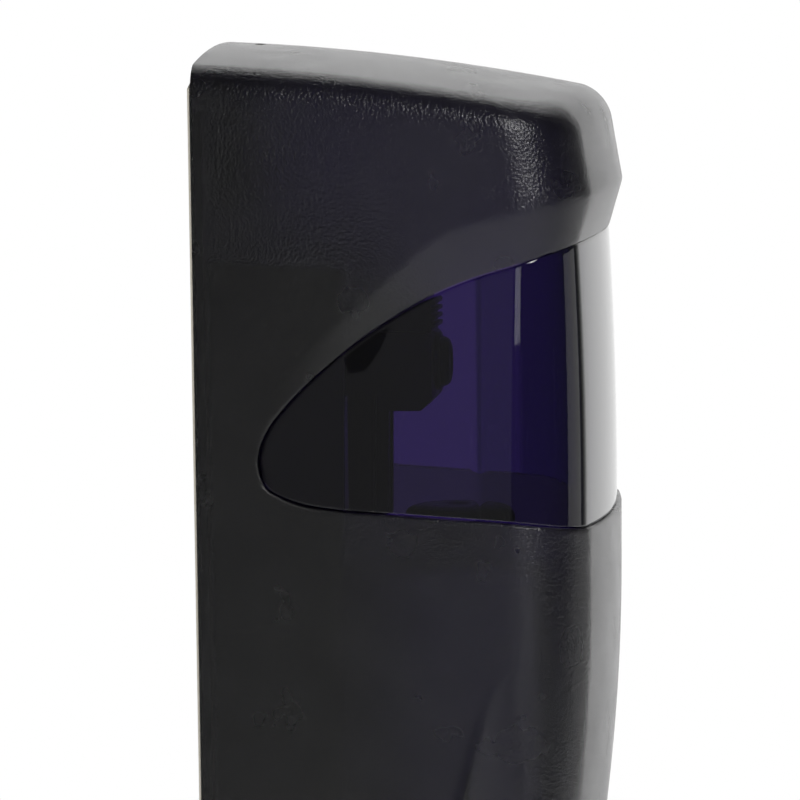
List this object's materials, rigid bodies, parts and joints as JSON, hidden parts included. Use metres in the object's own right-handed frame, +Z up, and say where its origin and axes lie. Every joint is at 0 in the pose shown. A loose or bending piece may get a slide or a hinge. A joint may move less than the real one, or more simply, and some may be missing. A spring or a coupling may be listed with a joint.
{
  "type": "wall soap dispenser",
  "caption": "Wall mounted push-bar soap dispenser: tinted hinged cover with wrap-around sight window over a refillable reservoir and a piston pump.",
  "frame": {"origin": "on the wall plane, at mid-width and half way up the dispenser", "axes": "+X across the width, -Y out of the wall toward the user, +Z up"},
  "size_m": [0.128, 0.1039, 0.2976],
  "materials": {
    "tinted_cover": "fine textured, dark violet tint",
    "tinted_window": "polished, violet tint",
    "black_abs": "satin moulded",
    "bar_abs": "fine textured",
    "foam": "closed cell foam",
    "clear_tank": "clear moulded",
    "natural_acetal": "satin",
    "elastomer": "matt",
    "steel": "zinc plated"
  },
  "bodies": {
    "base": {"rear_backplate": "black_abs", "wall_gasket": "foam", "reservoir_carrier": "black_abs", "carrier_screw_1": "steel", "carrier_screw_2": "steel", "carrier_screw_3": "steel", "carrier_screw_4": "steel", "cover_hinge_pin_right": "steel", "cover_hinge_pin_left": "steel", "cover_latch_spring": "steel", "reservoir": "clear_tank", "latch_housing": "black_abs", "latch_screw_1": "steel", "latch_screw_2": "steel", "retaining_nut": "natural_acetal", "pump_cylinder": "natural_acetal", "inlet_valve": "elastomer", "pump_spring": "steel", "bar_pivot_pin_right": "steel", "bar_pivot_pin_left": "steel"},
    "cover": {"front_cover": "tinted_cover", "sight_window": "tinted_window"},
    "latch": {"cover_latch": "black_abs"},
    "cap": {"filler_cap": "black_abs"},
    "release": {"release_button": "black_abs", "latch_hook": "natural_acetal", "button_spring": "steel"},
    "bar": {"push_bar": "bar_abs", "lifting_fork": "natural_acetal", "fork_screw_1": "steel", "fork_screw_2": "steel"},
    "piston": {"pump_piston": "natural_acetal", "piston_seal": "elastomer", "outlet_nozzle": "elastomer", "outlet_valve": "elastomer"}
  },
  "joints": [
    {"name": "cover_hinge", "type": "hinge", "parent": "base", "child": "cover", "pos_m": [0, -0.009, -0.141], "axis": [1, 0, 0], "range_deg": [0, 100]},
    {"name": "cover_latch_slide", "type": "slide", "parent": "base", "child": "latch", "axis": [0, 0, -1], "range_m": [0, 0.005], "stiffness_N_per_m": 300, "springref_m": -0.002, "deforming": ["cover_latch_spring"]},
    {"name": "filler_cap_turn", "type": "hinge", "parent": "base", "child": "cap", "pos_m": [0, -0.061, 0.0225], "axis": [0, 0, 1], "range_deg": [0, 90]},
    {"name": "release_button_slide", "type": "slide", "parent": "base", "child": "release", "axis": [0, 1, 0], "range_m": [0, 0.0035], "stiffness_N_per_m": 300, "springref_m": -0.002},
    {"name": "push_bar_pivot", "type": "hinge", "parent": "base", "child": "bar", "pos_m": [0, -0.082, -0.0885], "axis": [1, 0, 0], "range_deg": [0, 15.5], "stiffness_Nm_per_rad": 1.2, "springref_deg": -8.59},
    {"name": "pump_piston_slide", "type": "slide", "parent": "base", "child": "piston", "axis": [0, 0, 1], "range_m": [0, 0.00933], "deforming": ["pump_spring"]}
  ],
  "couplings": [
    {"joint": "pump_piston_slide", "follows": "push_bar_pivot", "m_per_rad": 0.0345}
  ]
}
